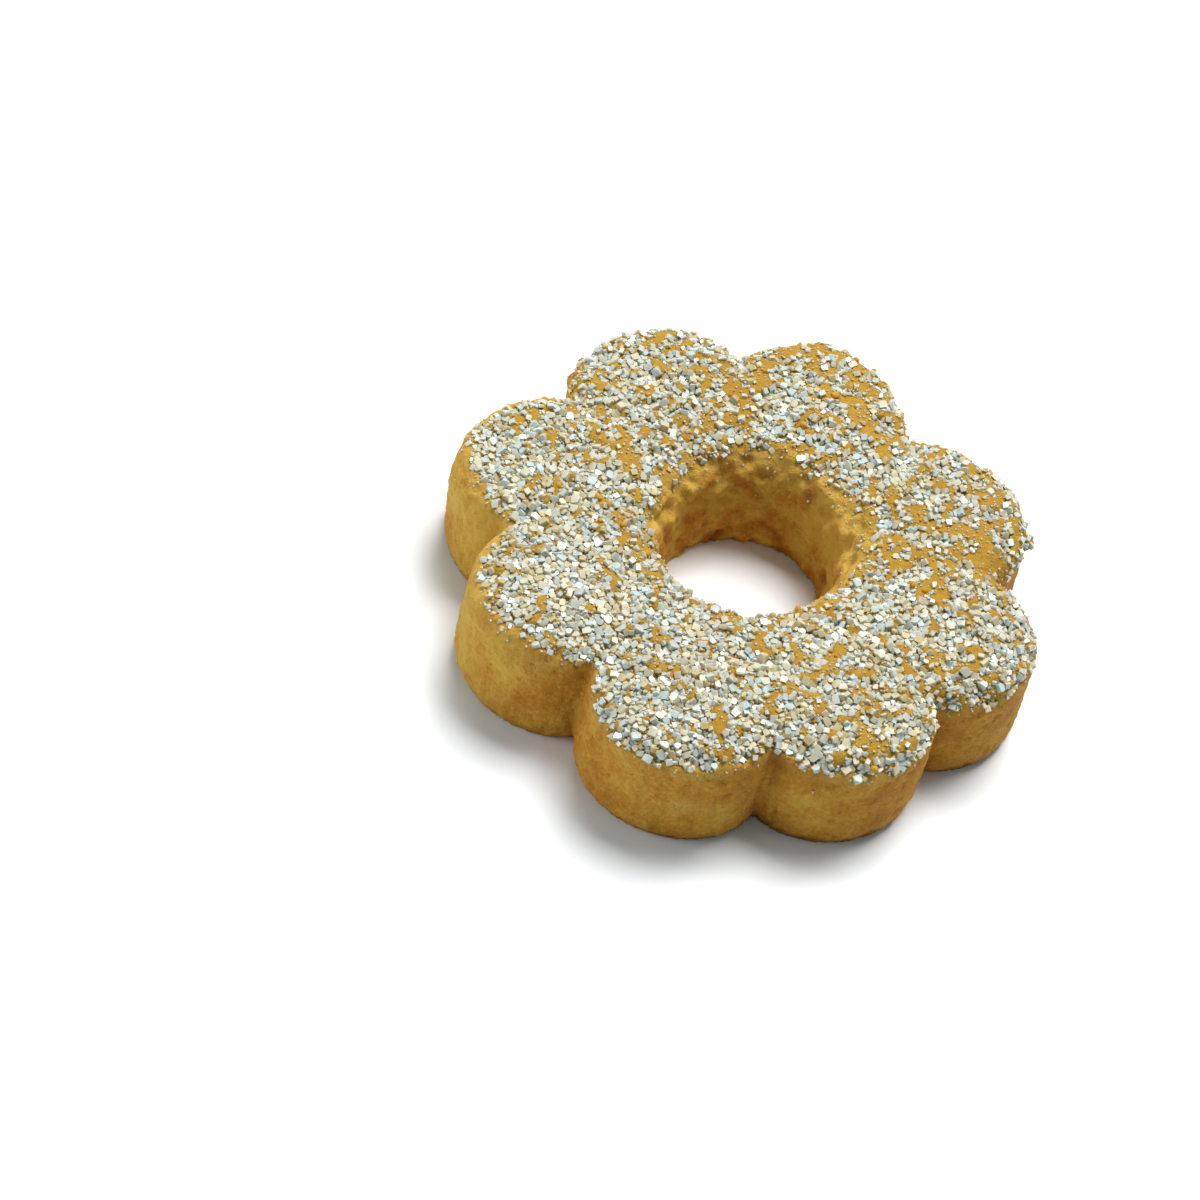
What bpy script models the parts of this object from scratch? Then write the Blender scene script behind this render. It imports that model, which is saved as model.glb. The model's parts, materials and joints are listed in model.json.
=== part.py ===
"""Canestrelli cookie: a ring biscuit cut as a flower, with uneven rounded petals round a hole.

Metres, +Z up. The cookie lies flat with its underside on z = 0, and the middle of the box round
its outline is at x = y = 0. Bearings go anticlockwise from +X, seen from above.
"""

import math

import bmesh
import bpy

MM = 0.001

# Whole cookie
THICKNESS = 12.8 * MM
CROWN_RISE = 0.4 * MM       # how far the middle of the top stands above its edges
POINTS_PER_PETAL = 17       # points of each ring from one crease to the next

# Petals: bearing in degrees, reach from the middle, radius of the rounded end
PETALS = (
    (31.6, 29.3 * MM, 10.3 * MM),
    (83.7, 29.8 * MM, 10.3 * MM),
    (126.3, 30.7 * MM, 10.5 * MM),
    (171.8, 31.3 * MM, 10.2 * MM),
    (216.0, 29.9 * MM, 10.3 * MM),
    (264.1, 30.2 * MM, 10.4 * MM),
    (305.3, 29.6 * MM, 10.3 * MM),
    (347.9, 30.0 * MM, 9.7 * MM),
)
BODY_RADIUS = 23.8 * MM     # the disc that the petals grow out of
WALL_ROUNDING = 0.2 * MM    # how softly petals and disc run into each other on the wall
TOP_ROUNDING = 1.0 * MM     # and where the shoulder reaches the top
CREASE_DEPTH = 0.8 * MM     # a groove where two petals meet, which fades out over the shoulder
CREASE_SPREAD = 0.9 * MM    # how quickly the groove closes as the petals' ends part

# Outer wall
FOOT_INSET = 1.0 * MM       # how far the underside's edge is drawn in
FOOT_HEIGHT = 1.8 * MM
SHOULDER_WIDTH = 2.9 * MM
SHOULDER_DROP = 3.3 * MM
SHOULDER_STEPS = 6

# Hole, with a wide rounded rim above a nearly straight wall
HOLE_CENTRE = (-0.2 * MM, 1.3 * MM)
HOLE_RADIUS = 9.0 * MM      # where the rounded rim meets the wall
HOLE_LOW_RADIUS = 8.7 * MM  # narrowest, near the underside
HOLE_FOOT_FLARE = 0.6 * MM
HOLE_FOOT_HEIGHT = 0.9 * MM
HOLE_OVAL = 0.35 * MM       # more along HOLE_OVAL_BEARING, less across it
HOLE_OVAL_BEARING = 60.0
RIM_WIDTH = 4.4 * MM
RIM_DROP = 5.0 * MM
RIM_STEPS = 7
CROWN_STEPS = 4


def petal_distances(bearing, inset):
    """How far out each petal drawn in by inset reaches at a bearing, 0 where it has no edge."""
    distances = []
    for petal_bearing, reach, end_radius in PETALS:
        turn = bearing - math.radians(petal_bearing)
        turn = math.atan2(math.sin(turn), math.cos(turn))
        centre = reach - end_radius
        end = end_radius - inset
        inside = end * end - (centre * math.sin(turn)) ** 2
        met = inside > 0 and abs(turn) < math.pi / 2
        distances.append(centre * math.cos(turn) + math.sqrt(inside) if met else 0.0)
    return distances


def outline_radius(bearing, inset):
    """Distance from the middle to the flower's outline, drawn in by inset."""
    petals = sorted(petal_distances(bearing, inset))
    distances = petals + [BODY_RADIUS - inset]
    furthest = max(distances)
    share = min(1.0, inset / SHOULDER_WIDTH)
    rounding = WALL_ROUNDING + share * (TOP_ROUNDING - WALL_ROUNDING)
    total = sum(math.exp((d - furthest) / rounding) for d in distances)
    parting = furthest - petals[-2]
    groove = CREASE_DEPTH * (1.0 - share) * math.exp(-parting / CREASE_SPREAD)
    return furthest + rounding * math.log(total) - groove


def crease_bearing(first, second):
    """The bearing between two neighbouring petals where both reach equally far."""
    low = math.radians(PETALS[first][0])
    high = math.radians(PETALS[second][0])
    if high < low:
        high += math.tau
    for _ in range(40):
        middle = 0.5 * (low + high)
        distances = petal_distances(middle, 0.0)
        if distances[first] > distances[second]:
            low = middle
        else:
            high = middle
    return low


def ring_bearings():
    """The bearings of a ring's points, which crowd towards the creases."""
    creases = [crease_bearing(i - 1, i) for i in range(len(PETALS))]
    bearings = []
    for i, start in enumerate(creases):
        end = creases[(i + 1) % len(creases)]
        if end < start:
            end += math.tau
        for point in range(POINTS_PER_PETAL):
            even = point / POINTS_PER_PETAL
            crowded = 0.5 * (1.0 - math.cos(math.pi * even))
            bearings.append(start + 0.5 * (even + crowded) * (end - start))
    return bearings


def outer_point(bearing, inset, height):
    """A point on the outside, at this inset from the flower's outline."""
    radius = outline_radius(bearing, inset)
    return (radius * math.cos(bearing), radius * math.sin(bearing), height)


def hole_point(bearing, radius, height):
    """A point on the hole's slightly oval wall."""
    oval = HOLE_OVAL * math.cos(2 * (bearing - math.radians(HOLE_OVAL_BEARING)))
    x = HOLE_CENTRE[0] + (radius + oval) * math.cos(bearing)
    y = HOLE_CENTRE[1] + (radius + oval) * math.sin(bearing)
    return (x, y, height)


def crown_point(bearing, across):
    """A point on the top, from the outer shoulder (across 0) to the hole's rim (across 1)."""
    edge = THICKNESS - CROWN_RISE
    start = outer_point(bearing, SHOULDER_WIDTH, edge)
    end = hole_point(bearing, HOLE_RADIUS + RIM_WIDTH, edge)
    x = start[0] + across * (end[0] - start[0])
    y = start[1] + across * (end[1] - start[1])
    return (x, y, edge + CROWN_RISE * math.sin(math.pi * across))


def section():
    """The ring's cross-section as functions of the bearing, from the outer foot to the hole's."""
    edge = THICKNESS - CROWN_RISE
    stations = [
        lambda b: outer_point(b, FOOT_INSET, 0.0),
        lambda b: outer_point(b, 0.45 * FOOT_INSET, 0.2 * FOOT_HEIGHT),
        lambda b: outer_point(b, 0.12 * FOOT_INSET, 0.55 * FOOT_HEIGHT),
        lambda b: outer_point(b, 0.0, FOOT_HEIGHT),
        lambda b: outer_point(b, 0.0, 0.5 * (FOOT_HEIGHT + edge - SHOULDER_DROP)),
    ]
    for step in range(SHOULDER_STEPS + 1):
        angle = 0.5 * math.pi * step / SHOULDER_STEPS
        inset = SHOULDER_WIDTH * (1 - math.cos(angle))
        height = edge - SHOULDER_DROP * (1 - math.sin(angle))
        stations.append(lambda b, i=inset, z=height: outer_point(b, i, z))
    for step in range(1, CROWN_STEPS):
        stations.append(lambda b, a=step / CROWN_STEPS: crown_point(b, a))
    for step in range(RIM_STEPS + 1):
        angle = 0.5 * math.pi * (1 - step / RIM_STEPS)
        radius = HOLE_RADIUS + RIM_WIDTH * (1 - math.cos(angle))
        height = edge - RIM_DROP * (1 - math.sin(angle))
        stations.append(lambda b, r=radius, z=height: hole_point(b, r, z))
    stations += [
        lambda b: hole_point(b, HOLE_LOW_RADIUS, HOLE_FOOT_HEIGHT),
        lambda b: hole_point(b, HOLE_LOW_RADIUS + 0.3 * HOLE_FOOT_FLARE, 0.25 * HOLE_FOOT_HEIGHT),
        lambda b: hole_point(b, HOLE_LOW_RADIUS + HOLE_FOOT_FLARE, 0.0),
    ]
    return stations


def place_ring(verts, steps, bearings, station):
    """Puts each vertex of a ring at its own bearing on the station."""
    for vert in verts:
        vert.co = station(bearings[vert[steps]])


def ring_mesh():
    """The closed flower-shaped ring, its outline's box centred on x = y = 0."""
    bearings = ring_bearings()
    bm = bmesh.new()
    bmesh.ops.create_circle(bm, segments=len(bearings), radius=1.0)
    steps = bm.verts.layers.int.new("step")
    for vert in bm.verts:
        turn = math.atan2(vert.co.y, vert.co.x) / math.tau
        vert[steps] = round(turn * len(bearings)) % len(bearings)
    stations = section()
    place_ring(bm.verts, steps, bearings, stations[0])
    first_edges = list(bm.edges)
    edges = first_edges
    for station in stations[1:]:
        made = bmesh.ops.extrude_edge_only(bm, edges=edges)["geom"]
        verts = [g for g in made if isinstance(g, bmesh.types.BMVert)]
        new = set(verts)
        edges = [g for g in made if isinstance(g, bmesh.types.BMEdge) and set(g.verts) <= new]
        place_ring(verts, steps, bearings, station)
    bmesh.ops.bridge_loops(bm, edges=first_edges + edges)
    bmesh.ops.recalc_face_normals(bm, faces=bm.faces)

    low = [min(vert.co[axis] for vert in bm.verts) for axis in range(2)]
    high = [max(vert.co[axis] for vert in bm.verts) for axis in range(2)]
    shift = (-0.5 * (low[0] + high[0]), -0.5 * (low[1] + high[1]), 0.0)
    bmesh.ops.translate(bm, verts=bm.verts, vec=shift)

    mesh = bpy.data.meshes.new("biscuit")
    bm.to_mesh(mesh)
    bm.free()
    mesh.shade_smooth()
    mesh.set_sharp_from_angle(angle=math.radians(50))
    return mesh


def dough_material():
    """Baked shortbread dough: golden brown and dull."""
    material = bpy.data.materials.new("baked_dough")
    material.use_nodes = True
    shader = material.node_tree.nodes["Principled BSDF"]
    shader.inputs["Base Color"].default_value = (0.44, 0.27, 0.09, 1.0)
    shader.inputs["Roughness"].default_value = 0.8
    shader.inputs["Metallic"].default_value = 0.0
    return material


for leftover in list(bpy.data.objects):
    bpy.data.objects.remove(leftover, do_unlink=True)

biscuit = bpy.data.objects.new("biscuit", ring_mesh())
biscuit.data.materials.append(dough_material())
bpy.context.scene.collection.objects.link(biscuit)
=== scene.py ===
"""Looks of the canestrelli cookie: baked dough with a thick, uneven layer of coarse sugar on top.

The dough's skin is the model's own solid, remeshed evenly and roughened by moving its vertices.
Sugar crystals and crumbs are small cleaved or lumpy shapes, scattered over that skin by rules and
joined into one mesh for each kind. Skin coordinates are in millimetres until they become a mesh.
"""

import json
import math
from collections import namedtuple

import bmesh
import bpy
import numpy as np
from mathutils import Matrix, Vector, noise


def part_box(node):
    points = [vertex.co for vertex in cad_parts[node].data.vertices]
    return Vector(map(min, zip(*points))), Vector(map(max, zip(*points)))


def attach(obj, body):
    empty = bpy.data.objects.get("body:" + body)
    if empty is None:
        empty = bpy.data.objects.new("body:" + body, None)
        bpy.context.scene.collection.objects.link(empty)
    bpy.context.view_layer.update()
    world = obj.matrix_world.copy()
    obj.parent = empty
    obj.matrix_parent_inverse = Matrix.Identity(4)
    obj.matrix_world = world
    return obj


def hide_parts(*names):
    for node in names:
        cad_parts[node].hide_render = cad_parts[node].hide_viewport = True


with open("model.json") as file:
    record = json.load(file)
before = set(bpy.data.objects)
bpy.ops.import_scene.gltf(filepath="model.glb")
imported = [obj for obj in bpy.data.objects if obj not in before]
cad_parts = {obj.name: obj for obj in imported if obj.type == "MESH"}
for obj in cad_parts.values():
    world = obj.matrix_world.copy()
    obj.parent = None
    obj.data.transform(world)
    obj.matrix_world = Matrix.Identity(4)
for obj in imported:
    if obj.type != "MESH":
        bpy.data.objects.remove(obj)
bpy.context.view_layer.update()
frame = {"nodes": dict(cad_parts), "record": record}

MM = 0.001

# Places worked out from the frame, in millimetres
NODE_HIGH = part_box("biscuit")[1]
TOP = NODE_HIGH.z / MM
HOLE_LOW, HOLE_HIGH = frame["record"]["physics"]["openings"][0]["box_m"]
HOLE_X = 0.5 * (HOLE_LOW[0] + HOLE_HIGH[0]) / MM
HOLE_Y = 0.5 * (HOLE_LOW[1] + HOLE_HIGH[1]) / MM


# ---------------------------------------------------------------- small helpers

def ramp(low, high, values):
    """0 below low, 1 above high, smooth between; low may be the larger."""
    share = np.clip((values - low) / (high - low), 0.0, 1.0)
    return share * share * (3.0 - 2.0 * share)


def field(points, size, seed, stretch=(1.0, 1.0, 1.0)):
    """Smooth noise between about -1 and 1, in lumps about size millimetres wide."""
    offset = Vector((17.3 * seed, -9.1 * seed, 5.7 * seed))
    scale = [1.0 / (size * s) for s in stretch]
    scaled = points * scale
    return np.array([noise.noise(Vector(p) + offset) for p in scaled])


def uneven(points, layers):
    """Layers of noise added up; each has a strength, the size of its lumps and a seed."""
    return sum(strength * field(points, size, seed) for strength, size, seed in layers)


def pores(points, size, seed, share):
    """1 at the middle of round pores, 0 between them; share of the cells have one."""
    offset = Vector((3.1 * seed, 7.7 * seed, -4.9 * seed))
    depth = np.zeros(len(points))
    for i, p in enumerate(points / size):
        near, cells = noise.voronoi(Vector(p) + offset)
        if noise.cell(cells[0] * 13.7) < share:
            depth[i] = max(0.0, 1.0 - near[0] / 0.45)
    return depth


def new_piece(name, mesh, material):
    """A finished piece of the cookie, at the origin, that rides on its only body."""
    piece = bpy.data.objects.new(name, mesh)
    bpy.context.scene.collection.objects.link(piece)
    mesh.materials.append(material)
    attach(piece, "root")
    return piece


def mesh_values(mesh, name, values):
    """Stores one number for each vertex, which materials read by name."""
    layer = mesh.attributes.new(name, "FLOAT", "POINT")
    layer.data.foreach_set("value", np.asarray(values, np.float32))


def vertex_arrays(mesh):
    """Vertex places in millimetres and their normals."""
    count = len(mesh.vertices)
    places = np.empty(count * 3, np.float32)
    normals = np.empty(count * 3, np.float32)
    mesh.vertices.foreach_get("co", places)
    mesh.vertices.foreach_get("normal", normals)
    return places.reshape(-1, 3).astype(float) / MM, normals.reshape(-1, 3).astype(float)


HOLE_RIM_REACH = (13.2, 11.3)  # from the first to the second distance the top turns into the hole


def in_hole(points):
    """1 on the wall of the hole, 0 on the top and the outside, by distance from the hole's axis."""
    return ramp(*HOLE_RIM_REACH, np.hypot(points[:, 0] - HOLE_X, points[:, 1] - HOLE_Y))


# ---------------------------------------------------------------- where sugar lies

SUGAR_LINE = 2.7            # how far below the top the sugar reaches on the outside
SUGAR_LINE_IN_HOLE = 1.1    # in the hole
SUGAR_LINE_NEAR = 2.2       # and in the hole on its -Y side
NEAR_SIDE = (-2.0, -8.0)    # y from the hole's middle where that side begins and is reached
SOFTER_IN_HOLE = 1.2        # how much softer the line is in the hole
STRAIGHTER_IN_HOLE = 0.4    # and how much less it wanders there
TOO_STEEP = 0.25            # sugar thins out where the skin's normal rises less than this

# Sides with a shorter reach: bearing of the middle, the reach there, and the cosines of the turn
# from the middle where the shortening begins and is complete
SHORT_SIDES = (
    (192.0, 1.0, (0.55, 0.85)),
    (268.0, 1.9, (0.70, 0.90)),
)

# How soft the line is above and below, in millimetres: for the sugar, for the dough's darker
# top, for the dust on the dough under it, and for single spilt grains
SUGAR_EDGE = (0.35, 0.35)
TOP_EDGE = (0.35, 0.6)
DUST_EDGE = (0.2, 1.8)
SPILT_EDGE = (0.2, 1.3)

# Noise layers: strength, size and seed
LINE_WANDER = ((0.55, 4.0, 21), (0.25, 1.3, 22))
PATCH_ROUGHNESS = ((0.5, 1.4, 23),)
GAP_NOISE = ((1.0, 1.5, 24), (0.4, 4.5, 25))

# Places where the dough shows through: middle x, y, half length, half width, bearing of the length
BARE_PATCHES = (
    (10.1, 17.7, 2.4, 1.0, -10.0),
    (24.1, 5.4, 3.8, 1.5, -55.0),
    (1.2, 28.7, 7.5, 2.4, 15.0),
    (-3.2, 22.6, 3.2, 0.9, 82.0),
    (-12.7, -1.7, 1.5, 0.6, 5.0),
    (-9.6, -4.2, 1.6, 0.8, -40.0),
    (-14.2, 23.6, 2.2, 0.9, 60.0),
    (15.4, 20.4, 4.2, 1.2, -15.0),
    (10.7, 5.2, 4.4, 1.0, 100.0),
)
PATCH_EDGE = (1.25, 0.8)    # from full sugar to bare, as shares of a patch's own size
PATCH_BARE = 0.93           # how much of the sugar is missing on a patch

GAP_EDGE = (0.12, 0.28)     # from full sugar to bare, in levels of the noise
GAP_BARE = 0.95             # how much of the sugar is missing in a gap
GAP_DRIFT = 0.13            # more gaps with a higher drift
GAP_DRIFT_X = 0.003         # which grows with x
GAP_DRIFT_Y = 0.0055        # and with y


def strewn(points, normals, edge):
    """1 where sugar fell and 0 past its line, which has the given softness above and below."""
    above, below = edge
    wander = uneven(points, LINE_WANDER)
    drop = TOP - points[:, 2]
    inward = in_hole(points)
    bearing = np.arctan2(points[:, 1], points[:, 0])
    outside = SUGAR_LINE
    for middle, reach, turns in SHORT_SIDES:
        side = ramp(*turns, np.cos(bearing - math.radians(middle)))
        outside = outside + (reach - SUGAR_LINE) * side
    near_side = ramp(*NEAR_SIDE, points[:, 1] - HOLE_Y)
    inside = SUGAR_LINE_IN_HOLE + (SUGAR_LINE_NEAR - SUGAR_LINE_IN_HOLE) * near_side
    line = outside + (inside - outside) * inward
    softness = 1.0 + SOFTER_IN_HOLE * inward
    depth = drop + wander * (1.0 - STRAIGHTER_IN_HOLE * inward)
    share = ramp(line + below * softness, line - above * softness, depth)
    return share * ramp(0.0, TOO_STEEP, normals[:, 2])


def sugar_share(points, normals):
    """How thickly sugar lies at each point, from 0 to 1."""
    share = strewn(points, normals, SUGAR_EDGE)
    roughness = uneven(points, PATCH_ROUGHNESS)
    for x, y, length, width, slant in BARE_PATCHES:
        turn = math.radians(slant)
        along = (points[:, 0] - x) * math.cos(turn) + (points[:, 1] - y) * math.sin(turn)
        across = (points[:, 1] - y) * math.cos(turn) - (points[:, 0] - x) * math.sin(turn)
        far = np.sqrt((along / length) ** 2 + (across / width) ** 2)
        share *= 1.0 - PATCH_BARE * ramp(*PATCH_EDGE, far + roughness)
    drift = GAP_DRIFT + GAP_DRIFT_X * points[:, 0] + GAP_DRIFT_Y * points[:, 1]
    gaps = ramp(*GAP_EDGE, uneven(points, GAP_NOISE) + drift)
    return share * (1.0 - GAP_BARE * gaps)


# ---------------------------------------------------------------- dough skin

SKIN_VOXEL = 0.31           # edge of the even mesh
SUGAR_ROOM = 0.6            # how far the dough sinks under the sugar

# Noise layers of the relief: height, size and seed
SWELL = ((0.22, 9.0, 1),)
LUMPS = ((0.16, 3.0, 2),)
CRUMB = ((0.11, 1.3, 3), (0.09, 0.8, 4))
TORN_HOLE = ((0.52, 2.2, 6), (0.26, 1.0, 7))
STREAKS = (0.09, 1.1, 5)    # upright ones, on the outer wall
STREAK_SHAPE = (1.0, 1.0, 5.0)

# Pores: depth, size, seed and how many of the places for one have one
PORES = ((0.30, 1.5, 8, 0.14), (0.2, 0.9, 12, 0.25))
HOLE_PORES = (0.4, 1.9, 9, 0.6)
UNDERSIDE_PORES = (0.25, 1.7, 10, 0.4)
UNDERSIDE_ROUGHNESS = (0.03, 0.9, 11)
UNDERSIDE_FACING = -0.7     # the underside is where the skin's normal points down further than this
UNDERSIDE_HEIGHT = 0.5      # and lies no higher

# Lumps of dough that stand out of the edge: x, y, depth below the top, half width, height
EDGE_LUMPS = (
    (17.3, 21.6, 2.2, 1.3, 0.9),
    (27.3, 11.0, 2.6, 1.1, 0.9),
    (2.4, 29.8, 2.6, 4.4, 0.55),
    (-22.0, 17.5, 3.4, 1.2, 0.5),
    (3.6, -27.9, 4.2, 1.4, 0.4),
)
LUMP_MIDDLE = 0.25          # share of its half width that is at full height

# How deeply the dough is baked, from 0 pale to 1 brown, made paler in places by painted light
BAKED = 0.40
BAKED_FOOT = 0.10           # added at the foot of the outer wall
FOOT_REACH = (4.0, 0.0)     # heights where that begins and is reached
BAKED_UNDERSIDE = 0.08      # added on the underside
UNDERSIDE_TURN = (0.6, 0.9) # how far the skin faces down where that begins and is reached
PAINTED_LIGHT_SIDE = 0.24            # taken off on the -X side, as painted light from the left
PAINTED_LIGHT_REACH = (-6.0, -24.0)  # x where that begins and is reached
PAINTED_LIGHT_HOLE = 0.26            # taken off on the wall of the hole, as painted light
PAINTED_LIGHT_FADE = 0.22          # and added back low down in it, so that the painted light fades towards its foot
SHAFT_REACH = (8.0, 1.0)    # heights where that begins and is reached
BAKED_PATCHES = ((0.26, 6.5, 31), (0.22, 2.4, 32))
HOLE_MOTTLING = (0.70, 1.9, 33)


def even_skin():
    """The cookie's solid as one closed mesh of small, even faces, in metres."""
    bm = bmesh.new()
    bm.from_mesh(frame["nodes"]["biscuit"].data)
    bmesh.ops.remove_doubles(bm, verts=bm.verts, dist=0.001 * MM)
    rough = bpy.data.meshes.new("solid_copy")
    bm.to_mesh(rough)
    bm.free()
    holder = bpy.data.objects.new("solid_copy", rough)
    bpy.context.scene.collection.objects.link(holder)
    remesh = holder.modifiers.new("even", "REMESH")
    remesh.mode = "VOXEL"
    remesh.voxel_size = SKIN_VOXEL * MM
    depsgraph = bpy.context.evaluated_depsgraph_get()
    skin = bpy.data.meshes.new_from_object(holder.evaluated_get(depsgraph))
    skin.name = "biscuit_dough"
    bpy.data.objects.remove(holder)
    bpy.data.meshes.remove(rough)
    return skin


def edge_lumps(points):
    """Height of the lumps that stand out of the edge."""
    height = np.zeros(len(points))
    for x, y, drop, width, rise in EDGE_LUMPS:
        apart = np.linalg.norm(points - (x, y, TOP - drop), axis=1)
        height = np.maximum(height, rise * ramp(width, LUMP_MIDDLE * width, apart))
    return height


def dough_relief(points, normals, sugared):
    """How far the skin swells out or sinks in at each point."""
    inward = in_hole(points)
    crumb = uneven(points, CRUMB) * (1.0 + inward)
    torn = inward * uneven(points, TORN_HOLE)
    height, size, seed = STREAKS
    wall = 1.0 - np.abs(normals[:, 2])
    streaks = height * wall * (1.0 - inward) * field(points, size, seed, STREAK_SHAPE)
    pits = sum(depth * pores(points, size, seed, share) for depth, size, seed, share in PORES)
    depth, size, seed, share = HOLE_PORES
    pits = pits + depth * inward * pores(points, size, seed, share)
    swollen = uneven(points, SWELL) + uneven(points, LUMPS) + crumb + streaks + torn
    return swollen - pits - SUGAR_ROOM * sugared + edge_lumps(points)


def flatten_underside(points, normals, moved):
    """Puts the underside back on the ground, with shallow pores in it."""
    under = (normals[:, 2] < UNDERSIDE_FACING) & (points[:, 2] < UNDERSIDE_HEIGHT)
    flat = points[under]
    depth, size, seed, share = UNDERSIDE_PORES
    pitted = depth * pores(flat, size, seed, share)
    height, size, seed = UNDERSIDE_ROUGHNESS
    moved[under] = flat
    moved[under, 2] = pitted + height * (1.0 + field(flat, size, seed))
    moved[:, 2] = np.maximum(moved[:, 2], 0.0)


def browning_and_painted_light(points, normals):
    """How deeply the dough is baked at each point, 0 pale to 1 brown, made paler where light is
    painted on the -X side and on the wall of the hole.
    """
    inward = in_hole(points)
    foot = BAKED_FOOT * ramp(*FOOT_REACH, points[:, 2]) * (1.0 - inward)
    # painted light: the wall of the hole is painted paler, and less so towards its foot
    painted_light_in_hole = inward * (PAINTED_LIGHT_FADE * ramp(*SHAFT_REACH, points[:, 2]) - PAINTED_LIGHT_HOLE)
    underside = BAKED_UNDERSIDE * ramp(*UNDERSIDE_TURN, -normals[:, 2])
    # painted light: the -X side is painted paler, as if more light fell on it from the left
    painted_light_side = PAINTED_LIGHT_SIDE * ramp(*PAINTED_LIGHT_REACH, points[:, 0]) * (1.0 - inward)
    strength, size, seed = HOLE_MOTTLING
    mottled = strength * inward * field(points, size, seed)
    base = BAKED + foot + painted_light_in_hole + underside - painted_light_side
    return np.clip(base + uneven(points, BAKED_PATCHES) + mottled, 0.0, 1.0)


def dough_piece(material):
    """The whole biscuit of dough, and how thickly sugar lies at each of its vertices."""
    mesh = even_skin()
    points, normals = vertex_arrays(mesh)
    sugared = sugar_share(points, normals)
    moved = points + normals * dough_relief(points, normals, sugared)[:, None]
    flatten_underside(points, normals, moved)
    mesh.vertices.foreach_set("co", (moved * MM).astype(np.float32).ravel())
    mesh.update()
    mesh.shade_smooth()
    mesh_values(mesh, "browning_and_painted_light", browning_and_painted_light(points, normals))
    mesh_values(mesh, "top", strewn(points, normals, TOP_EDGE))
    mesh_values(mesh, "dusted", strewn(points, normals, DUST_EDGE))
    piece = new_piece("biscuit_dough", mesh, material)
    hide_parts("biscuit")
    return piece, sugared


# ---------------------------------------------------------------- scattering

# A kind of scattered thing: how many at most, smallest and largest size with how strongly small
# ones are favoured, how close they lie, how many different shapes, how far each stands out of the
# skin as a share of its size, and how far it leans in radians
Kind = namedtuple("Kind", "count sizes closeness shapes lift tilt")

COARSE = Kind(count=1500, sizes=(0.68, 1.0, 1.4), closeness=0.72, shapes=14, lift=0.1, tilt=0.3)
MEDIUM = Kind(count=6600, sizes=(0.42, 0.68, 1.0), closeness=0.66, shapes=12, lift=0.14, tilt=0.4)
FINE = Kind(count=9000, sizes=(0.2, 0.38, 1.0), closeness=0.6, shapes=8, lift=0.15, tilt=0.8)
CRUMBS = Kind(count=220, sizes=(0.4, 1.0, 2.0), closeness=0.35, shapes=6, lift=0.12, tilt=0.6)

SUGAR_SEED = 11
CRUMB_SEED = 12
TRIES = 3                   # places tried for each thing wanted
HIGHEST = TOP + 0.3         # nothing stands higher
STANDS_CLEAR = 0.6          # share of its size above the skin at which a grain stands clear of it
COARSE_PREFERENCE = 1.5     # coarse sugar keeps to the thickest places
SPILT_SHARE = 0.10          # fine grains just past the sugar line, against those above it
LOOSE_SHARE = 0.006         # and the few that roll down the wall
LOOSE_REACH = (6.5, 2.0)    # depths below the top where those begin and are full
LOOSE_FACING = (-0.1, 0.3)  # and how far up the skin faces there
CRUMB_FAVOUR = 1.15         # crumbs favour half-thick sugar over the thickest

CRYSTAL_WIDTH = (0.7, 0.95)     # against its length
CLEAVED_AT = (0.72, 0.88)       # share of a crystal's reach that a cut leaves
LUMP_WIDTH = (0.7, 1.0)
LUMP_THICKNESS = (0.55, 0.85)


def skin_faces(mesh, sugared):
    """Corner places and normals of the skin's triangles, their areas and their sugar share."""
    mesh.calc_loop_triangles()
    corners = np.empty(len(mesh.loop_triangles) * 3, np.int32)
    mesh.loop_triangles.foreach_get("vertices", corners)
    corners = corners.reshape(-1, 3)
    points, normals = vertex_arrays(mesh)
    spots = points[corners]
    sides = np.cross(spots[:, 1] - spots[:, 0], spots[:, 2] - spots[:, 0])
    area = 0.5 * np.linalg.norm(sides, axis=1)
    return spots, normals[corners], area, sugared[corners].mean(axis=1)


class Spacing:
    """Keeps scattered things apart, by filing their places in cubes of one size."""

    CUBE = 1.2

    def __init__(self):
        self.filed = {}

    def free(self, place, gap):
        """True if nothing lies closer to place than gap allows."""
        home = [math.floor(c / self.CUBE) for c in place]
        for i in range(-1, 2):
            for j in range(-1, 2):
                for k in range(-1, 2):
                    cube = (home[0] + i, home[1] + j, home[2] + k)
                    for x, y, z, room in self.filed.get(cube, ()):
                        away = (place[0] - x) ** 2 + (place[1] - y) ** 2 + (place[2] - z) ** 2
                        if away < (gap + room) ** 2:
                            return False
        return True

    def add(self, place, gap):
        """Files a place with the gap that it needs."""
        home = tuple(math.floor(c / self.CUBE) for c in place)
        self.filed.setdefault(home, []).append((place[0], place[1], place[2], gap))


def scatter(rng, faces, weight, kind, spacing):
    """Places with their normals and sizes for one kind of thing, spread by weight and kept apart."""
    spots, normals, area, _ = faces
    steps = np.cumsum(area * weight)
    smallest, largest, skew = kind.sizes
    found = []
    for _ in range(TRIES * kind.count):
        if len(found) == kind.count:
            break
        face = min(int(np.searchsorted(steps, rng.random() * steps[-1])), len(steps) - 1)
        u, v = rng.random(2)
        if u + v > 1.0:
            u, v = 1.0 - u, 1.0 - v
        share = np.array((1.0 - u - v, u, v))
        place = share @ spots[face]
        size = smallest + (largest - smallest) * rng.random() ** skew
        gap = 0.5 * kind.closeness * size
        if spacing.free(place, gap):
            spacing.add(place, gap)
            normal = share @ normals[face]
            found.append((place, normal / np.linalg.norm(normal), size))
    return found


def tangent_frame(rng, normal, tilt):
    """A turned frame whose third axis leans from the normal by about tilt radians."""
    lean = normal + tilt * rng.normal(size=3)
    third = lean / np.linalg.norm(lean)
    side = np.cross(third, rng.normal(size=3))
    first = side / np.linalg.norm(side)
    return np.array((first, np.cross(third, first), third))


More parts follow.
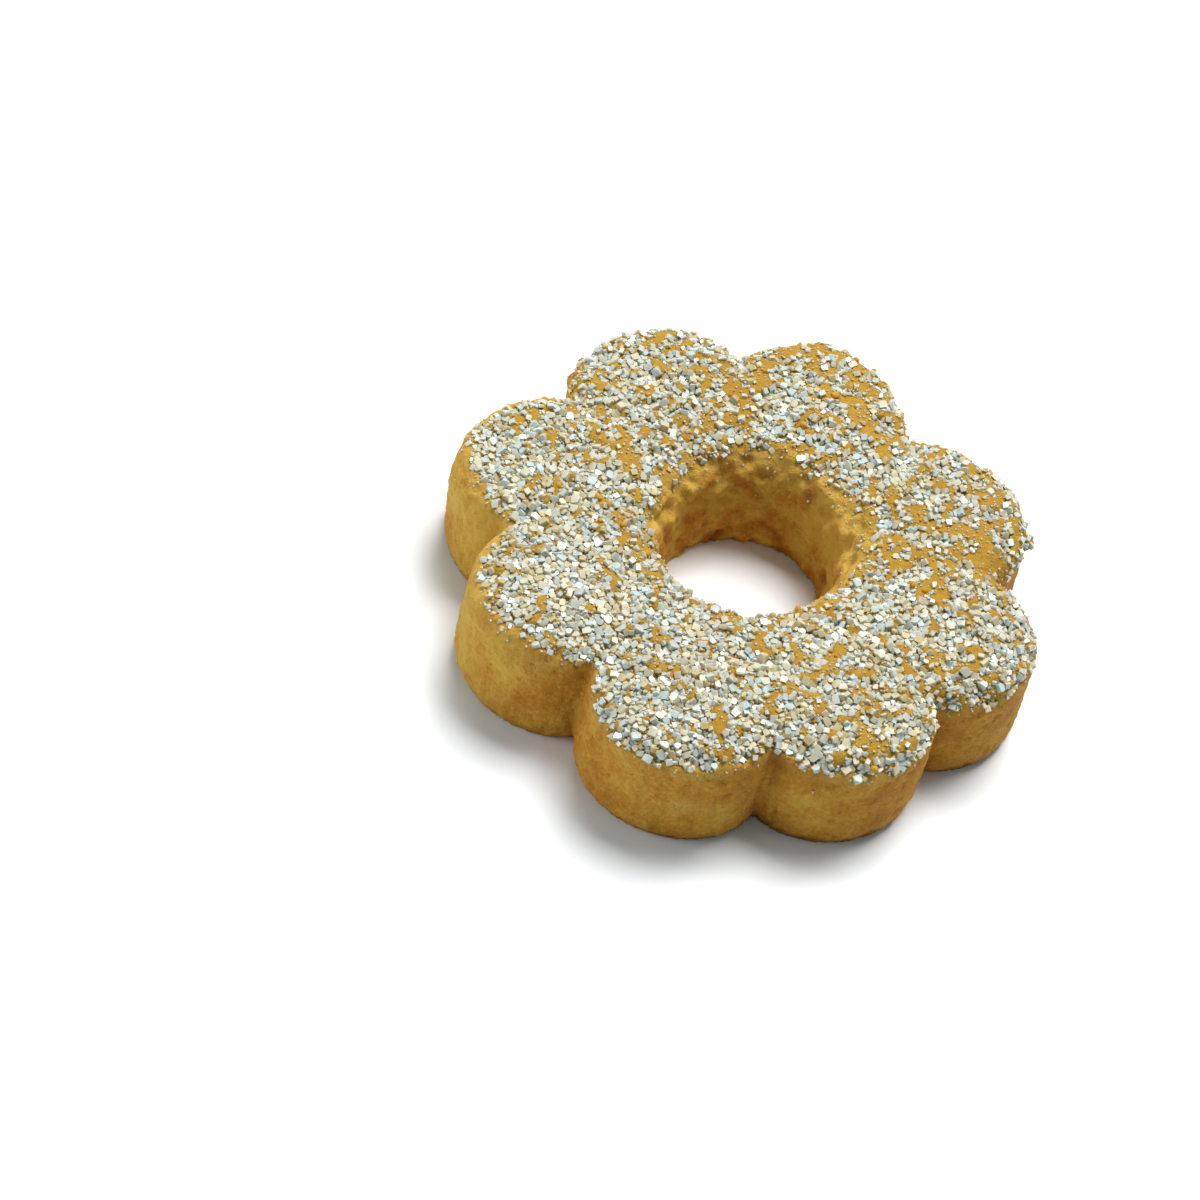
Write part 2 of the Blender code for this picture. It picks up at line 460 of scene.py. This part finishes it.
def joined_mesh(name, rng, shapes, found, kind):
    """One mesh of a turned, sized copy of a shape at each place, with values for its material."""
    corners, faces, height, tone = [], [], [], []
    start = 0
    for place, normal, size in found:
        verts, tris = shapes[rng.integers(len(shapes))]
        turned = size * verts @ tangent_frame(rng, normal, kind.tilt)
        shift = place + kind.lift * size * normal
        shift[2] -= max(0.0, (turned[:, 2] + shift[2]).max() - HIGHEST)
        above = (turned + shift - place) @ normal
        corners.append(turned + shift)
        faces.append(tris + start)
        height.append(np.clip(above / (STANDS_CLEAR * size), 0.0, 1.0))
        tone.append(np.full(len(verts), rng.random()))
        start += len(verts)
    mesh = bpy.data.meshes.new(name)
    places = np.concatenate(corners) * MM
    triangles = np.concatenate(faces)
    mesh.vertices.add(len(places))
    mesh.vertices.foreach_set("co", places.astype(np.float32).ravel())
    mesh.loops.add(triangles.size)
    mesh.loops.foreach_set("vertex_index", triangles.astype(np.int32).ravel())
    mesh.polygons.add(len(triangles))
    mesh.polygons.foreach_set("loop_start", np.arange(0, triangles.size, 3, dtype=np.int32))
    mesh.update(calc_edges=True)
    mesh.validate()
    mesh.shade_flat()
    mesh_values(mesh, "height", np.concatenate(height))
    mesh_values(mesh, "tone", np.concatenate(tone))
    return mesh


def shape_arrays(bm):
    """A small shape's vertices and triangles as arrays, and the bmesh freed."""
    bmesh.ops.triangulate(bm, faces=bm.faces)
    bmesh.ops.recalc_face_normals(bm, faces=bm.faces)
    bm.verts.index_update()
    verts = np.array([v.co[:] for v in bm.verts])
    tris = np.array([[v.index for v in f.verts] for f in bm.faces])
    bm.free()
    return verts, tris


def crystal(rng, cuts, thickness):
    """A sugar crystal about 1 across: a block with corners and edges cleaved off."""
    bm = bmesh.new()
    bmesh.ops.create_cube(bm, size=1.0)
    proportions = (1.0, rng.uniform(*CRYSTAL_WIDTH), rng.uniform(*thickness))
    bmesh.ops.scale(bm, verts=bm.verts, vec=proportions)
    for _ in range(cuts):
        facing = Vector(rng.normal(size=3)).normalized()
        reach = max(v.co.dot(facing) for v in bm.verts) * rng.uniform(*CLEAVED_AT)
        everything = bm.verts[:] + bm.edges[:] + bm.faces[:]
        cut = bmesh.ops.bisect_plane(
            bm, geom=everything, plane_co=facing * reach, plane_no=facing, clear_outer=True
        )
        rim = [g for g in cut["geom_cut"] if isinstance(g, bmesh.types.BMEdge)]
        bmesh.ops.edgeloop_fill(bm, edges=rim)
    return shape_arrays(bm)


def lump(rng, detail, roughness):
    """An uneven rounded grain or crumb about 1 across."""
    bm = bmesh.new()
    bmesh.ops.create_icosphere(bm, subdivisions=detail, radius=0.5)
    proportions = (1.0, rng.uniform(*LUMP_WIDTH), rng.uniform(*LUMP_THICKNESS))
    bmesh.ops.scale(bm, verts=bm.verts, vec=proportions)
    for vert in bm.verts:
        vert.co *= 1.0 + roughness * rng.uniform(-1.0, 1.0)
    return shape_arrays(bm)


def block_crystal(rng):
    """A large crystal, cleaved all round."""
    return crystal(rng, cuts=8, thickness=(0.5, 0.8))


def plain_crystal(rng):
    """A smaller crystal with a few cleaved corners."""
    return crystal(rng, cuts=4, thickness=(0.55, 0.85))


def sugar_grain(rng):
    """A fine grain of sugar."""
    return lump(rng, detail=1, roughness=0.12)


def dough_crumb(rng):
    """A loose crumb of dough."""
    return lump(rng, detail=2, roughness=0.16)


def scattered_piece(name, rng, faces, weight, kind, spacing, new_shape, material):
    """One kind of scattered thing as a single piece."""
    found = scatter(rng, faces, weight, kind, spacing)
    shapes = [new_shape(rng) for _ in range(kind.shapes)]
    mesh = joined_mesh(name, rng, shapes, found, kind)
    return new_piece(name, mesh, material)


def fine_sugar_weight(faces):
    """Where fine grains lie: among the sugar, spilt past its line, and a few down the wall."""
    middles = faces[0].mean(axis=1)
    normals = faces[1].mean(axis=1)
    facing_up = ramp(*LOOSE_FACING, normals[:, 2])
    loose = ramp(TOP - LOOSE_REACH[0], TOP - LOOSE_REACH[1], middles[:, 2]) * facing_up
    spilt = strewn(middles, normals, SPILT_EDGE)
    return faces[3] + LOOSE_SHARE * loose + SPILT_SHARE * spilt


def sugar_pieces(faces, spacing, crystal_sugar, grain_sugar):
    """The three grades of sugar on the dough, the largest first."""
    rng = np.random.default_rng(SUGAR_SEED)
    share = faces[3]
    fine_weight = fine_sugar_weight(faces)
    grades = (
        ("sugar_coarse", COARSE, share ** COARSE_PREFERENCE, block_crystal, crystal_sugar),
        ("sugar_medium", MEDIUM, share, plain_crystal, crystal_sugar),
        ("sugar_fine", FINE, fine_weight, sugar_grain, grain_sugar),
    )
    for name, kind, weight, new_shape, material in grades:
        piece = scattered_piece(name, rng, faces, weight, kind, spacing, new_shape, material)


def crumb_piece(faces, spacing, material):
    """Loose crumbs of dough among the sugar and along its edge."""
    rng = np.random.default_rng(CRUMB_SEED)
    weight = faces[3] * (CRUMB_FAVOUR - faces[3])
    piece = scattered_piece("crumbs", rng, faces, weight, CRUMBS, spacing, dough_crumb, material)
    piece.data.shade_smooth()


# ---------------------------------------------------------------- materials

# Colours of the dough
PALE_DOUGH = (0.63, 0.380, 0.055)
GOLDEN_DOUGH = (0.52, 0.222, 0.018)
BROWN_DOUGH = (0.27, 0.092, 0.010)
TOP_DOUGH = (0.41, 0.226, 0.014)
DUSTED_DOUGH = (0.64, 0.43, 0.13)
DOUGH_STOPS = ((0.05, PALE_DOUGH), (0.45, GOLDEN_DOUGH), (0.95, BROWN_DOUGH))
DULL = 0.2                  # specular level of dry dough
TOP_SHARE = 0.7             # how much the top takes its own colour
DUST_SHARE = 0.3            # how much sugar dust pales the dough by the sugar
TONE_RANGE = 0.75           # how much the crumb's tone, with the painted shade in its pits, varies how baked the dough looks
GOLDEN_CRUMBS = 0.8         # how golden the least pale of the loose crumbs is
BROWNED_CRUMBS = 0.25       # how much its texture browns each, with painted shade in its pits

# Crumb texture: sizes are given as repeats in a metre
DOUGH_GRAIN = 2300.0
DOUGH_PATCHES = 260.0
LOOSE_CRUMB_GRAIN = 2600.0
LOOSE_CRUMB_PATCHES = 900.0
GRAIN_CONTRAST = (0.3, 0.7)     # levels of the grain that become black and white
PIT_PUSH = 0.9 * MM             # how far the edges of fine pits are pushed about
PIT_SPACING = 0.6               # pits in a metre, as a share of the grain's
PIT_EDGE = (0.32, 0.52)         # distances from its middle where a pit ends
PIT_LEVEL = 0.45                # the pits' share of the bump, against the grain
PIT_PAINTED_SHADE = 0.22                 # how much darker a pit is painted, as painted shade
PATCH_TONE = 0.55               # the patches' share of the tone, against the grain

# Bumps: depth and strength
DOUGH_BUMP = (0.17 * MM, 0.9)
LOOSE_CRUMB_BUMP = (0.1 * MM, 0.8)
SUGAR_BUMP = (0.03 * MM, 0.5)

# Sugar: cool and warm white crystals, partly clear ones, the dough seen through the foot of each,
# and how far light spreads inside
SugarLook = namedtuple("SugarLook", "cool warm clear show_through haze")

CRYSTAL_LOOK = SugarLook(
    cool=(0.52, 0.65, 0.70),
    warm=(0.66, 0.61, 0.46),
    clear=(0.50, 0.39, 0.15),
    show_through=(0.43, 0.28, 0.05),
    haze=0.5,
)
GRAIN_LOOK = SugarLook(
    cool=(0.50, 0.62, 0.67),
    warm=(0.63, 0.58, 0.43),
    clear=(0.49, 0.38, 0.14),
    show_through=(0.43, 0.28, 0.05),
    haze=0.0,
)
SUGAR_IOR = 1.54
HAZE_RADIUS = (1.0, 0.9, 0.7)   # how far red, green and blue spread inside, against each other
HAZE_DEPTH = 0.3 * MM
SUGAR_GRAIN = 2400.0
SUGAR_CLOUDS = 0.6              # how much the grain makes one crystal clearer in places
CLEAR_STEEPNESS = 2.4           # with the start: crystals whose tone is above 0.67 turn clear
CLEAR_START = 1.6
WARMTH_TURNS = 7.0              # warmth runs through its range this often as tone goes to 1
FOOT_FADE = 0.6                 # how quickly the dough seen through a crystal fades upwards
SUGAR_ROUGHNESS = (0.12, 0.3)   # of the smoothest crystals, and how much rougher they get


class Nodes:
    """Short ways to add and join nodes in one tree."""

    def __init__(self, tree):
        self.tree = tree

    def add(self, kind, **settings):
        """A new node with its settings."""
        node = self.tree.nodes.new(kind)
        for name, value in settings.items():
            setattr(node, name, value)
        return node

    def feed(self, value, socket):
        """Joins a socket to another, or gives it a number."""
        if isinstance(value, (int, float)):
            socket.default_value = value
        else:
            self.tree.links.new(value, socket)

    def math(self, operation, *values, clamp=False):
        """One operation on sockets and numbers."""
        node = self.add("ShaderNodeMath", operation=operation, use_clamp=clamp)
        for socket, value in zip(node.inputs, values):
            self.feed(value, socket)
        return node.outputs[0]

    def contrast(self, value, edges):
        """0 below the first edge, 1 above the second, smooth between."""
        node = self.add("ShaderNodeMapRange", interpolation_type="SMOOTHSTEP")
        self.feed(value, node.inputs["Value"])
        self.feed(edges[0], node.inputs["From Min"])
        self.feed(edges[1], node.inputs["From Max"])
        return node.outputs["Result"]

    def noise(self, vector, scale, detail=2.0, roughness=0.5, output="Fac"):
        """Noise with so many repeats in a metre."""
        node = self.add("ShaderNodeTexNoise")
        self.feed(vector, node.inputs["Vector"])
        self.feed(scale, node.inputs["Scale"])
        self.feed(detail, node.inputs["Detail"])
        self.feed(roughness, node.inputs["Roughness"])
        return node.outputs[output]

    def attribute(self, name):
        """A number stored on the mesh."""
        return self.add("ShaderNodeAttribute", attribute_name=name).outputs["Fac"]

    def mix(self, share, first, second):
        """Colours first and second mixed by share; each may be a socket or a value."""
        node = self.add("ShaderNodeMix", data_type="RGBA")
        self.feed(share, node.inputs[0])
        for socket, colour in ((node.inputs[6], first), (node.inputs[7], second)):
            if isinstance(colour, tuple):
                socket.default_value = (*colour, 1.0)
            else:
                self.feed(colour, socket)
        return node.outputs[2]


def new_group(name, numbers=(), vectors=(), colours=(), colour_results=(), number_results=()):
    """An empty shader node group with named inputs and outputs, its nodes, inputs and outputs."""
    group = bpy.data.node_groups.new(name, "ShaderNodeTree")
    for names, way, kind in (
        (vectors, "INPUT", "NodeSocketVector"),
        (numbers, "INPUT", "NodeSocketFloat"),
        (colours, "INPUT", "NodeSocketColor"),
        (colour_results, "OUTPUT", "NodeSocketColor"),
        (number_results, "OUTPUT", "NodeSocketFloat"),
    ):
        for socket in names:
            group.interface.new_socket(socket, in_out=way, socket_type=kind)
    nodes = Nodes(group)
    return group, nodes, nodes.add("NodeGroupInput").outputs, nodes.add("NodeGroupOutput").inputs


def crumb_texture_group():
    """Fine baked crumb: a tone from 0 to 1 that varies in grains and patches, with painted shade in
    its pits, and a bump height.
    """
    group, nodes, given, result = new_group(
        "crumb_texture",
        vectors=("Vector",),
        numbers=("Grain Scale", "Patch Scale"),
        number_results=("Tone", "Height"),
    )
    soft_grain = nodes.noise(given["Vector"], given["Grain Scale"], 5.0, 0.72)
    grain = nodes.contrast(soft_grain, GRAIN_CONTRAST)
    patch = nodes.noise(given["Vector"], given["Patch Scale"], 3.0, 0.55)

    pushed = nodes.add("ShaderNodeVectorMath", operation="MULTIPLY_ADD")
    nodes.feed(nodes.noise(given["Vector"], given["Grain Scale"], output="Color"), pushed.inputs[0])
    pushed.inputs[1].default_value = (PIT_PUSH, PIT_PUSH, PIT_PUSH)
    nodes.feed(given["Vector"], pushed.inputs[2])
    cells = nodes.add("ShaderNodeTexVoronoi")
    nodes.feed(pushed.outputs["Vector"], cells.inputs["Vector"])
    nodes.feed(nodes.math("MULTIPLY", given["Grain Scale"], PIT_SPACING), cells.inputs["Scale"])
    uneven_distance = nodes.math("ADD", cells.outputs["Distance"], nodes.math("MULTIPLY", patch, 0.5))
    unpitted = nodes.contrast(uneven_distance, PIT_EDGE)

    grain_level = nodes.math("MULTIPLY", grain, 1.0 - PIT_LEVEL)
    pit_level = nodes.math("MULTIPLY", unpitted, PIT_LEVEL)
    nodes.feed(nodes.math("ADD", grain_level, pit_level), result["Height"])
    grain_tone = nodes.math("MULTIPLY", grain, 1.0 - PATCH_TONE)
    tone = nodes.math("ADD", grain_tone, nodes.math("MULTIPLY", patch, PATCH_TONE))
    # painted shade: the pits are darkened where shade would fall in them
    pit_shade = nodes.math("MULTIPLY", nodes.math("SUBTRACT", 1.0, unpitted), PIT_PAINTED_SHADE)
    nodes.feed(nodes.math("ADD", tone, pit_shade), result["Tone"])
    return group


def add_crumb_texture(nodes, group, grain_scale, patch_scale):
    """The crumb texture placed on Object coordinates."""
    node = nodes.add("ShaderNodeGroup", node_tree=group)
    nodes.feed(nodes.add("ShaderNodeTexCoord").outputs["Object"], node.inputs["Vector"])
    nodes.feed(grain_scale, node.inputs["Grain Scale"])
    nodes.feed(patch_scale, node.inputs["Patch Scale"])
    return node.outputs["Tone"], node.outputs["Height"]


def new_material(name, roughness):
    """A material, its nodes and its shader's sockets."""
    material = bpy.data.materials.new(name)
    material.use_nodes = True
    shader = material.node_tree.nodes["Principled BSDF"].inputs
    shader["Roughness"].default_value = roughness
    shader["Metallic"].default_value = 0.0
    return material, Nodes(material.node_tree), shader


def add_bump(nodes, shader, height, bump):
    """A bump from a height between 0 and 1."""
    node = nodes.add("ShaderNodeBump")
    nodes.feed(bump[0], node.inputs["Distance"])
    nodes.feed(bump[1], node.inputs["Strength"])
    nodes.feed(height, node.inputs["Height"])
    nodes.feed(node.outputs["Normal"], shader["Normal"])


def dough_material(group):
    """Baked dough: golden and browner low down, with painted light paling the wall of the hole above
    its foot, and a fine crumb with painted shade in its pits.
    """
    material, nodes, shader = new_material("baked_dough", 0.75)
    tone, height = add_crumb_texture(nodes, group, DOUGH_GRAIN, DOUGH_PATCHES)
    # the crumb's tone carries painted shade in its pits
    varied = nodes.math("MULTIPLY", nodes.math("SUBTRACT", tone, 0.5), TONE_RANGE)
    depth = nodes.math("ADD", nodes.attribute("browning_and_painted_light"), varied)
    colours = nodes.add("ShaderNodeValToRGB")
    colours.color_ramp.elements.new(0.5)
    for stop, (level, colour) in zip(colours.color_ramp.elements, DOUGH_STOPS):
        stop.position = level
        stop.color = (*colour, 1.0)
    nodes.feed(depth, colours.inputs["Fac"])
    dusted = nodes.math("MULTIPLY", nodes.attribute("dusted"), DUST_SHARE)
    wall = nodes.mix(dusted, colours.outputs["Color"], DUSTED_DOUGH)
    top = nodes.math("MULTIPLY", nodes.attribute("top"), TOP_SHARE)
    nodes.feed(nodes.mix(top, wall, TOP_DOUGH), shader["Base Color"])
    nodes.feed(DULL, shader["Specular IOR Level"])
    add_bump(nodes, shader, height, DOUGH_BUMP)
    return material


def crumb_material(group):
    """Loose crumbs: the same dough, each a little paler or browner than the next."""
    material, nodes, shader = new_material("dough_crumb", 0.8)
    tone, height = add_crumb_texture(nodes, group, LOOSE_CRUMB_GRAIN, LOOSE_CRUMB_PATCHES)
    golden = nodes.math("MULTIPLY", nodes.attribute("tone"), GOLDEN_CRUMBS)
    colour = nodes.mix(golden, PALE_DOUGH, GOLDEN_DOUGH)
    # the crumb's tone darkens each crumb, with painted shade in its pits
    shaded = nodes.mix(tone, colour, BROWN_DOUGH)
    nodes.feed(nodes.mix(BROWNED_CRUMBS, colour, shaded), shader["Base Color"])
    nodes.feed(DULL, shader["Specular IOR Level"])
    add_bump(nodes, shader, height, LOOSE_CRUMB_BUMP)
    return material


def sugar_tint_group():
    """Colour of a sugar grain: dough shows through low down, and no two grains are alike."""
    group, nodes, given, result = new_group(
        "sugar_tint",
        numbers=("Height", "Tone", "Grain"),
        colours=("Cool", "Warm", "Clear", "Show Through"),
        colour_results=("Color",),
        number_results=("Roughness",),
    )
    cloud = nodes.math("MULTIPLY", nodes.math("SUBTRACT", given["Grain"], 0.5), SUGAR_CLOUDS)
    start = nodes.math("SUBTRACT", cloud, CLEAR_START)
    clear = nodes.math("MULTIPLY_ADD", given["Tone"], CLEAR_STEEPNESS, start, clamp=True)
    warmth = nodes.math("FRACT", nodes.math("MULTIPLY", given["Tone"], WARMTH_TURNS))
    white = nodes.mix(warmth, given["Cool"], given["Warm"])
    body = nodes.mix(clear, white, given["Clear"])
    risen = nodes.math("POWER", given["Height"], FOOT_FADE)
    nodes.feed(nodes.mix(risen, given["Show Through"], body), result["Color"])
    smoothest, range_of_roughness = SUGAR_ROUGHNESS
    rougher = nodes.math("MULTIPLY", given["Tone"], range_of_roughness)
    nodes.feed(nodes.math("ADD", rougher, smoothest), result["Roughness"])
    return group


def sugar_material(name, group, look):
    """Sugar, partly clear and glossy."""
    material, nodes, shader = new_material(name, 0.3)
    grain = nodes.noise(nodes.add("ShaderNodeTexCoord").outputs["Object"], SUGAR_GRAIN)
    tint = nodes.add("ShaderNodeGroup", node_tree=group)
    nodes.feed(nodes.attribute("height"), tint.inputs["Height"])
    nodes.feed(nodes.attribute("tone"), tint.inputs["Tone"])
    nodes.feed(grain, tint.inputs["Grain"])
    tint.inputs["Cool"].default_value = (*look.cool, 1.0)
    tint.inputs["Warm"].default_value = (*look.warm, 1.0)
    tint.inputs["Clear"].default_value = (*look.clear, 1.0)
    tint.inputs["Show Through"].default_value = (*look.show_through, 1.0)
    nodes.feed(tint.outputs["Color"], shader["Base Color"])
    nodes.feed(tint.outputs["Roughness"], shader["Roughness"])
    shader["IOR"].default_value = SUGAR_IOR
    shader["Subsurface Weight"].default_value = look.haze
    shader["Subsurface Radius"].default_value = HAZE_RADIUS
    shader["Subsurface Scale"].default_value = HAZE_DEPTH
    add_bump(nodes, shader, grain, SUGAR_BUMP)
    return material


# ---------------------------------------------------------------- studio

FLOOR_SIZE = 3.0
FLOOR_GAP = 0.02 * MM
FLOOR_COLOURS = ((0.885, 0.91, 0.93), (0.90, 0.925, 0.94))
FLOOR_FIBRE = 900.0
SKY_COLOUR = (0.72, 0.92, 1.0)
SKY_STRENGTH = 0.24
LAMP_COLOUR = (1.0, 0.99, 0.97)
LAMP_DISTANCE = 0.9

CAMERA_ELEVATION = math.radians(47.4)
CAMERA_ROLL = math.radians(14.9)
CAMERA_DISTANCE = 380 * MM
CAMERA_LENS = 115.8
SENSOR_WIDTH = 36.0
COOKIE_ASIDE = (0.0407, 0.0171)  # how far right of and above the line of sight it lies, per distance
CAMERA_TARGET = (0.77 * MM, 0.21 * MM, NODE_HIGH.z)


def floor_piece():
    """A plain pale sheet that the cookie lies on."""
    bm = bmesh.new()
    bmesh.ops.create_grid(bm, x_segments=1, y_segments=1, size=0.5 * FLOOR_SIZE)
    bmesh.ops.translate(bm, verts=bm.verts, vec=(0.0, 0.0, -FLOOR_GAP))
    mesh = bpy.data.meshes.new("floor")
    bm.to_mesh(mesh)
    bm.free()
    floor = bpy.data.objects.new("floor", mesh)
    bpy.context.scene.collection.objects.link(floor)
    material, nodes, shader = new_material("pale_sheet", 0.6)
    fibre = nodes.noise(nodes.add("ShaderNodeTexCoord").outputs["Object"], FLOOR_FIBRE, 3.0)
    nodes.feed(nodes.mix(fibre, *FLOOR_COLOURS), shader["Base Color"])
    mesh.materials.append(material)


def soft_light(name, direction, size, power):
    """A large square lamp that faces the cookie from a direction."""
    lamp = bpy.data.lights.new(name, "AREA")
    lamp.size = size
    lamp.energy = power
    lamp.color = LAMP_COLOUR
    holder = bpy.data.objects.new(name, lamp)
    bpy.context.scene.collection.objects.link(holder)
    away = Vector(direction).normalized()
    holder.location = away * LAMP_DISTANCE
    holder.rotation_mode = "QUATERNION"
    holder.rotation_quaternion = away.to_track_quat("Z", "Y")


def studio():
    """Even light from all round, a soft lamp high up behind the cookie and a weak one on its left."""
    scene = bpy.context.scene
    world = bpy.data.worlds.new("studio")
    scene.world = world
    world.use_nodes = True
    background = world.node_tree.nodes["Background"]
    background.inputs["Color"].default_value = (*SKY_COLOUR, 1.0)
    background.inputs["Strength"].default_value = SKY_STRENGTH
    soft_light("lamp_behind", (0.16, 0.48, 1.0), 0.52, 12.2)
    soft_light("lamp_left", (-1.0, -0.3, 0.4), 0.5, 2.8)
    scene.view_settings.view_transform = "Standard"


def camera():
    """Looks down on the cookie from the front, turned a little about its line of sight."""
    back = Vector((0.0, -math.cos(CAMERA_ELEVATION), math.sin(CAMERA_ELEVATION)))
    level_up = Vector((0.0, math.sin(CAMERA_ELEVATION), math.cos(CAMERA_ELEVATION)))
    level_right = Vector((1.0, 0.0, 0.0))
    right = level_right * math.cos(CAMERA_ROLL) + level_up * math.sin(CAMERA_ROLL)
    up = level_up * math.cos(CAMERA_ROLL) - level_right * math.sin(CAMERA_ROLL)
    sight = (-back - right * COOKIE_ASIDE[0] - up * COOKIE_ASIDE[1]).normalized()
    side = sight.cross(up).normalized()
    turn = Matrix((side, side.cross(sight), -sight)).transposed()
    lens = bpy.data.cameras.new("camera")
    lens.lens = CAMERA_LENS
    lens.sensor_width = SENSOR_WIDTH
    lens.clip_start = 10 * MM
    holder = bpy.data.objects.new("camera", lens)
    bpy.context.scene.collection.objects.link(holder)
    place = Vector(CAMERA_TARGET) + back * CAMERA_DISTANCE
    holder.matrix_world = Matrix.Translation(place) @ turn.to_4x4()
    bpy.context.scene.camera = holder


# ---------------------------------------------------------------- the whole picture

def build():
    """The cookie's pieces, then the floor, the light and the camera."""
    crumb_texture = crumb_texture_group()
    sugar_tint = sugar_tint_group()
    dough, sugared = dough_piece(dough_material(crumb_texture))
    faces = skin_faces(dough.data, sugared)
    spacing = Spacing()
    crystal_sugar = sugar_material("sugar_crystal", sugar_tint, CRYSTAL_LOOK)
    grain_sugar = sugar_material("sugar_grain", sugar_tint, GRAIN_LOOK)
    sugar_pieces(faces, spacing, crystal_sugar, grain_sugar)
    crumb_piece(faces, spacing, crumb_material(crumb_texture))
    floor_piece()
    studio()
    camera()


build()

bpy.context.view_layer.update()
